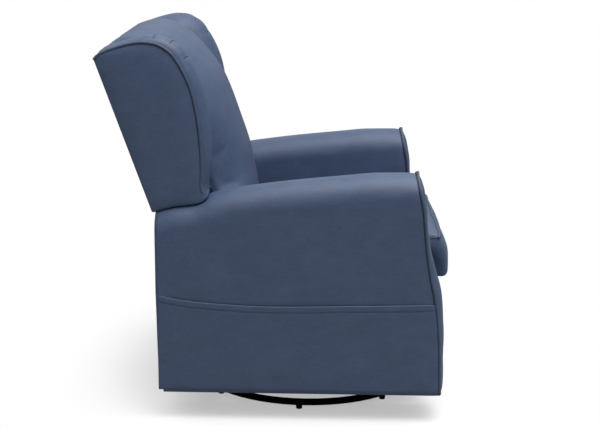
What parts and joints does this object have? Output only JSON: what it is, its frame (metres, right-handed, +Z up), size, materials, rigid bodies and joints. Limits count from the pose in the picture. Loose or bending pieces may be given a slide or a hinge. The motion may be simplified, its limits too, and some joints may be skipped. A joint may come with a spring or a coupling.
{
  "type": "swivel glider recliner",
  "caption": "Upholstered wing-back swivel glider recliner with rolled arms, side pockets, a fold-out footrest and a round steel ring base.",
  "frame": {"origin": "on the floor, below the middle of the chair's whole length and width; the swivel axis stands 77 mm in front of it", "axes": "+X is forward for the sitter, +Y is the sitter's left, +Z is up"},
  "size_m": [0.8778, 0.7836, 0.9645],
  "materials": {
    "cover_fabric": "slate blue linen-look weave, matt",
    "back_fabric": "the same weave over flat boards",
    "frame_wood": "bare planed timber and plywood",
    "black_steel": "satin black powder coat",
    "zinc_steel": "bright zinc plate",
    "black_plastic": "moulded, fine texture",
    "strap_webbing": "black woven strap"
  },
  "bodies": {
    "base": {"base_ring": "black_steel", "base_cross": "black_steel", "lower_race": "zinc_steel", "foot_1": "black_plastic", "foot_2": "black_plastic", "foot_3": "black_plastic", "foot_4": "black_plastic", "foot_5": "black_plastic", "foot_6": "black_plastic", "foot_7": "black_plastic", "foot_8": "black_plastic"},
    "bearing": {"ball_cage": "zinc_steel"},
    "swivel": {"upper_race": "zinc_steel", "glider_base": "black_steel", "king_pin": "zinc_steel"},
    "glide_link_front_left": {"glide_link_front_left": "zinc_steel"},
    "glide_link_front_right": {"glide_link_front_right": "zinc_steel"},
    "glide_link_rear_left": {"glide_link_rear_left": "zinc_steel"},
    "glide_link_rear_right": {"glide_link_rear_right": "zinc_steel"},
    "seat": {"glide_platform": "black_steel", "rear_cross_tube": "black_steel", "seat_frame": "frame_wood", "seat_springs": "zinc_steel", "seat_cushion": "cover_fabric", "rear_panel": "back_fabric", "mechanism_plate_left": "black_steel", "mechanism_plate_right": "black_steel", "arm_frame_left": "frame_wood", "arm_frame_right": "frame_wood", "arm_cover_left": "cover_fabric", "arm_cover_right": "cover_fabric", "arm_front_left": "cover_fabric", "arm_front_right": "cover_fabric", "side_pocket_left": "cover_fabric", "side_pocket_right": "cover_fabric"},
    "back": {"outer_back": "back_fabric", "back_pillow": "cover_fabric", "back_rail_lower": "frame_wood", "back_rail_middle": "frame_wood", "back_rail_upper": "frame_wood", "wing_left": "cover_fabric", "wing_right": "cover_fabric", "back_stile_left": "frame_wood", "back_stile_right": "frame_wood", "back_bracket_left": "black_steel", "back_bracket_right": "black_steel"},
    "footrest_drive": {"footrest_drive_link_left": "zinc_steel", "footrest_drive_link_right": "zinc_steel", "footrest_torque_tube": "black_steel"},
    "footrest_guide_left": {"footrest_guide_link_left": "zinc_steel"},
    "footrest_guide_right": {"footrest_guide_link_right": "zinc_steel"},
    "footrest_long_left": {"footrest_long_link_left": "zinc_steel"},
    "footrest_long_right": {"footrest_long_link_right": "zinc_steel"},
    "footrest_lower_left": {"footrest_lower_link_left": "zinc_steel"},
    "footrest_lower_right": {"footrest_lower_link_right": "zinc_steel"},
    "footrest": {"footrest_board": "frame_wood", "footrest_pad": "cover_fabric", "footrest_bracket_left": "black_steel", "footrest_bracket_right": "black_steel"},
    "release": {"release_strap": "strap_webbing"}
  },
  "joints": [
    {"name": "swivel", "type": "hinge", "parent": "base", "child": "swivel", "pos_m": [0.07693, 0, 0.057], "axis": [0, 0, 1], "continuous": true},
    {"name": "bearing_turn", "type": "hinge", "parent": "base", "child": "bearing", "pos_m": [0.07693, 0, 0.057], "axis": [0, 0, 1], "continuous": true},
    {"name": "glide", "type": "hinge", "parent": "swivel", "child": "glide_link_front_left", "pos_m": [0.20693, 0.157, 0.20498], "axis": [0, -1, 0], "range_deg": [-30, 30]},
    {"name": "seat_level", "type": "hinge", "parent": "glide_link_front_left", "child": "seat", "pos_m": [0.20693, 0.157, 0.10998], "axis": [0, -1, 0], "range_deg": [-30, 30]},
    {"name": "glide_front_right", "type": "hinge", "parent": "swivel", "child": "glide_link_front_right", "pos_m": [0.20693, -0.157, 0.20498], "axis": [0, -1, 0], "range_deg": [-30, 30]},
    {"name": "glide_rear_left", "type": "hinge", "parent": "swivel", "child": "glide_link_rear_left", "pos_m": [-0.05307, 0.157, 0.20498], "axis": [0, -1, 0], "range_deg": [-30, 30]},
    {"name": "glide_rear_right", "type": "hinge", "parent": "swivel", "child": "glide_link_rear_right", "pos_m": [-0.05307, -0.157, 0.20498], "axis": [0, -1, 0], "range_deg": [-30, 30]},
    {"name": "recline", "type": "hinge", "parent": "seat", "child": "back", "pos_m": [-0.26707, 0, 0.356], "axis": [0, -1, 0], "range_deg": [0, 30]},
    {"name": "footrest_open", "type": "hinge", "parent": "seat", "child": "footrest_drive", "pos_m": [0.22693, 0, 0.3], "axis": [0, -1, 0], "range_deg": [0, 90]},
    {"name": "footrest_guide_left", "type": "hinge", "parent": "seat", "child": "footrest_guide_left", "pos_m": [0.17704, 0.255, 0.26666], "axis": [0, -1, 0], "range_deg": [0, 90]},
    {"name": "footrest_guide_right", "type": "hinge", "parent": "seat", "child": "footrest_guide_right", "pos_m": [0.17704, -0.255, 0.26666], "axis": [0, -1, 0], "range_deg": [0, 90]},
    {"name": "footrest_long_left", "type": "hinge", "parent": "footrest_drive", "child": "footrest_long_left", "pos_m": [0.14393, 0.25, 0.151], "axis": [0, -1, 0], "range_deg": [-90, 0]},
    {"name": "footrest_long_right", "type": "hinge", "parent": "footrest_drive", "child": "footrest_long_right", "pos_m": [0.14393, -0.25, 0.151], "axis": [0, -1, 0], "range_deg": [-90, 0]},
    {"name": "footrest_lower_left", "type": "hinge", "parent": "footrest_drive", "child": "footrest_lower_left", "pos_m": [0.11473, 0.25, 0.09858], "axis": [0, -1, 0], "range_deg": [-90, 0]},
    {"name": "footrest_lower_right", "type": "hinge", "parent": "footrest_drive", "child": "footrest_lower_right", "pos_m": [0.11473, -0.25, 0.09858], "axis": [0, -1, 0], "range_deg": [-90, 0]},
    {"name": "footrest_turn", "type": "hinge", "parent": "footrest_long_left", "child": "footrest", "pos_m": [0.33693, 0.245, 0.28], "axis": [0, -1, 0], "range_deg": [0, 90]},
    {"name": "release_pull", "type": "slide", "parent": "seat", "child": "release", "axis": [0, 0, 1], "range_m": [0, 0.02], "stiffness_N_per_m": 150}
  ],
  "couplings": [
    {"joint": "bearing_turn", "follows": "swivel", "ratio": 0.5},
    {"joint": "seat_level", "follows": "glide", "ratio": -1},
    {"joint": "glide_front_right", "follows": "glide", "ratio": 1},
    {"joint": "glide_rear_left", "follows": "glide", "ratio": 1},
    {"joint": "glide_rear_right", "follows": "glide", "ratio": 1},
    {"joint": "footrest_guide_left", "follows": "footrest_open", "ratio": 1},
    {"joint": "footrest_guide_right", "follows": "footrest_open", "ratio": 1},
    {"joint": "footrest_long_left", "follows": "footrest_open", "ratio": -1},
    {"joint": "footrest_long_right", "follows": "footrest_open", "ratio": -1},
    {"joint": "footrest_lower_left", "follows": "footrest_open", "ratio": -1},
    {"joint": "footrest_lower_right", "follows": "footrest_open", "ratio": -1},
    {"joint": "footrest_turn", "follows": "footrest_open", "ratio": 1}
  ]
}
